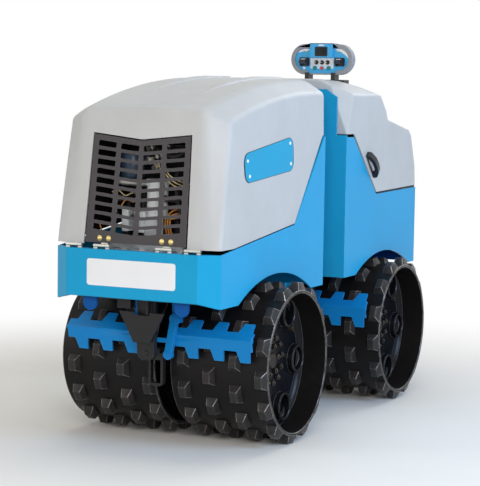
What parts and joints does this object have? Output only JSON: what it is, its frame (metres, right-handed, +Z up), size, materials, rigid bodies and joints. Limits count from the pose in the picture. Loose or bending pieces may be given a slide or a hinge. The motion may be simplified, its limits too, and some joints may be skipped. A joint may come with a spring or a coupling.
{
  "type": "trench roller",
  "caption": "Articulated walk-behind trench roller: padfoot drums on a front and a rear body joined by a steering joint, tilting hoods, grille door and a radio hand control",
  "frame": {"origin": "on the ground under the middle of the machine's bounding box", "axes": "+Z up, -Y towards the grille end, +X to the right when looking along +Y"},
  "size_m": [0.85, 1.972, 1.492],
  "materials": {
    "body_blue": "sky-blue gloss paint on welded sheet steel",
    "hood_grey": "warm light-grey gel coat on moulded glass-fibre hoods",
    "drum_cast": "black paint on rough cast steel, worn to bare metal on the edges",
    "frame_dark": "satin black paint",
    "buffer_rubber": "plain black rubber",
    "bare_steel": "bright machined steel",
    "grille_dark": "dark grey satin paint on punched sheet",
    "fitting_brass": "yellow passivated bolt heads and hinge leaves",
    "engine_grey": "grey painted casting",
    "radiator_black": "matt black paint",
    "black_plastic": "black moulded plastic with a fine grain",
    "exhaust_steel": "heat-stained sheet steel",
    "valve_metal": "machined aluminium block",
    "canister_white": "white paint",
    "hose_rubber": "smooth black hose cover",
    "tank_dark": "dark grey paint",
    "remote_face": "light blue face sheet on a dark case",
    "remote_grey": "mid-grey moulded bumper frame",
    "stick_black": "black paddle",
    "toggle_chrome": "bright plated lever",
    "button_green": "green cap",
    "button_red": "red cap"
  },
  "bodies": {
    "front_frame": {"front_bumper": "body_blue", "front_side_right": "body_blue", "front_side_left": "body_blue", "front_deck": "body_blue", "front_bulkhead": "body_blue", "front_leg": "frame_dark", "tow_loop": "frame_dark", "front_buffers": "buffer_rubber", "front_travel_motors": "frame_dark", "front_scrapers": "body_blue", "engine": "engine_grey", "radiator": "radiator_black", "air_filter": "black_plastic", "exhaust_silencer": "exhaust_steel", "valve_block": "valve_metal", "filter_canister": "canister_white", "hydraulic_pump": "engine_grey", "hydraulic_hoses": "hose_rubber", "lifting_eye": "body_blue", "front_hinge_pins": "bare_steel"},
    "front_hood": {"front_hood": "hood_grey", "front_hood_hinges": "bare_steel"},
    "grille": {"grille": "grille_dark", "grille_fittings": "fitting_brass"},
    "drum_front_right": {"drum_front_right": "drum_cast"},
    "drum_front_left": {"drum_front_left": "drum_cast"},
    "drum_rear_right": {"drum_rear_right": "drum_cast"},
    "drum_rear_left": {"drum_rear_left": "drum_cast"},
    "cooling_fan": {"cooling_fan": "black_plastic"},
    "front_exciter": {"front_exciter_shaft": "bare_steel"},
    "rear_exciter": {"rear_exciter_shaft": "bare_steel"},
    "steering_yoke": {"steering_yoke": "frame_dark", "steering_pin": "bare_steel"},
    "steering_barrel": {"steering_barrel": "frame_dark"},
    "steering_rod": {"steering_rod": "bare_steel"},
    "rear_frame": {"rear_side_right": "body_blue", "rear_side_left": "body_blue", "rear_deck": "body_blue", "rear_bulkhead": "body_blue", "rear_leg": "frame_dark", "rear_buffers": "buffer_rubber", "rear_travel_motors": "frame_dark", "rear_scrapers": "body_blue", "fuel_tank": "black_plastic", "oil_tank": "tank_dark", "battery": "black_plastic", "rear_hinge_pins": "bare_steel"},
    "rear_hood": {"rear_hood": "hood_grey", "rear_handles": "black_plastic", "remote_cradle": "black_plastic"},
    "remote": {"remote_body": "remote_face", "remote_rim": "remote_grey"},
    "joystick_left": {"joystick_left": "stick_black"},
    "joystick_right": {"joystick_right": "stick_black"},
    "toggle_left": {"toggle_left": "toggle_chrome"},
    "toggle_centre": {"toggle_centre": "toggle_chrome"},
    "toggle_right": {"toggle_right": "toggle_chrome"},
    "button_left": {"button_left": "button_green"},
    "button_right": {"button_right": "button_green"},
    "button_stop": {"button_stop": "button_red"}
  },
  "joints": [
    {"name": "steering", "type": "hinge", "parent": "front_frame", "child": "steering_yoke", "pos_m": [0, 0.069, 0.54], "axis": [0, 0, 1], "range_deg": [-28, 28]},
    {"name": "roll", "type": "hinge", "parent": "steering_yoke", "child": "rear_frame", "pos_m": [0, 0.125, 0.54], "axis": [0, 1, 0], "range_deg": [-6, 6]},
    {"name": "front_hood_tilt", "type": "hinge", "parent": "front_frame", "child": "front_hood", "pos_m": [0, -0.975, 0.742], "axis": [1, 0, 0], "range_deg": [0, 60]},
    {"name": "grille_door", "type": "hinge", "parent": "front_hood", "child": "grille", "pos_m": [0, -0.975, 0.742], "axis": [1, 0, 0], "range_deg": [0, 60]},
    {"name": "rear_hood_tilt", "type": "hinge", "parent": "rear_frame", "child": "rear_hood", "pos_m": [0, 0.978, 0.874], "axis": [-1, 0, 0], "range_deg": [0, 55]},
    {"name": "drum_front_right_spin", "type": "hinge", "parent": "front_frame", "child": "drum_front_right", "pos_m": [0.229, -0.473, 0.29848], "axis": [1, 0, 0], "continuous": true},
    {"name": "drum_front_left_spin", "type": "hinge", "parent": "front_frame", "child": "drum_front_left", "pos_m": [-0.229, -0.473, 0.29848], "axis": [1, 0, 0], "continuous": true},
    {"name": "drum_rear_right_spin", "type": "hinge", "parent": "rear_frame", "child": "drum_rear_right", "pos_m": [0.229, 0.611, 0.29848], "axis": [1, 0, 0], "continuous": true},
    {"name": "drum_rear_left_spin", "type": "hinge", "parent": "rear_frame", "child": "drum_rear_left", "pos_m": [-0.229, 0.611, 0.29848], "axis": [1, 0, 0], "continuous": true},
    {"name": "fan_spin", "type": "hinge", "parent": "front_frame", "child": "cooling_fan", "pos_m": [0, -0.52, 0.88], "axis": [0, 1, 0], "continuous": true},
    {"name": "front_exciter_spin", "type": "hinge", "parent": "front_frame", "child": "front_exciter", "pos_m": [0, -0.473, 0.44448], "axis": [1, 0, 0], "continuous": true},
    {"name": "rear_exciter_spin", "type": "hinge", "parent": "rear_frame", "child": "rear_exciter", "pos_m": [0, 0.611, 0.44448], "axis": [1, 0, 0], "continuous": true},
    {"name": "barrel_swing", "type": "hinge", "parent": "front_frame", "child": "steering_barrel", "pos_m": [-0.25, -0.001, 0.368], "axis": [0, 0, 1], "range_deg": [-2.5, 2.5]},
    {"name": "rod_travel", "type": "slide", "parent": "steering_barrel", "child": "steering_rod", "axis": [0.8385, 0.5449, 0], "range_m": [-0.037, 0.037]},
    {"name": "remote_lift", "type": "slide", "parent": "rear_hood", "child": "remote", "axis": [0, 0, 1], "range_m": [0, 0.15]},
    {"name": "stick_left", "type": "hinge", "parent": "remote", "child": "joystick_left", "pos_m": [0.046, 0.38433, 1.415], "axis": [1, 0, 0], "range_deg": [-18, 18], "stiffness_Nm_per_rad": 0.6},
    {"name": "stick_right", "type": "hinge", "parent": "remote", "child": "joystick_right", "pos_m": [0.204, 0.38433, 1.415], "axis": [1, 0, 0], "range_deg": [-18, 18], "stiffness_Nm_per_rad": 0.6},
    {"name": "switch_left", "type": "hinge", "parent": "remote", "child": "toggle_left", "pos_m": [0.1, 0.391, 1.413], "axis": [1, 0, 0], "range_deg": [-12, 12], "stiffness_Nm_per_rad": 0.1},
    {"name": "switch_centre", "type": "hinge", "parent": "remote", "child": "toggle_centre", "pos_m": [0.125, 0.391, 1.413], "axis": [1, 0, 0], "range_deg": [-12, 12], "stiffness_Nm_per_rad": 0.1},
    {"name": "switch_right", "type": "hinge", "parent": "remote", "child": "toggle_right", "pos_m": [0.15, 0.391, 1.413], "axis": [1, 0, 0], "range_deg": [-12, 12], "stiffness_Nm_per_rad": 0.1},
    {"name": "press_left", "type": "slide", "parent": "remote", "child": "button_left", "axis": [0, 1, 0], "range_m": [0, 0.0018], "stiffness_N_per_m": 800},
    {"name": "press_right", "type": "slide", "parent": "remote", "child": "button_right", "axis": [0, 1, 0], "range_m": [0, 0.0018], "stiffness_N_per_m": 800},
    {"name": "press_stop", "type": "slide", "parent": "remote", "child": "button_stop", "axis": [0, 1, 0], "range_m": [0, 0.0018], "stiffness_N_per_m": 800}
  ],
  "couplings": [
    {"joint": "barrel_swing", "follows": "steering", "ratio": 0.086},
    {"joint": "rod_travel", "follows": "steering", "m_per_rad": -0.0752}
  ]
}
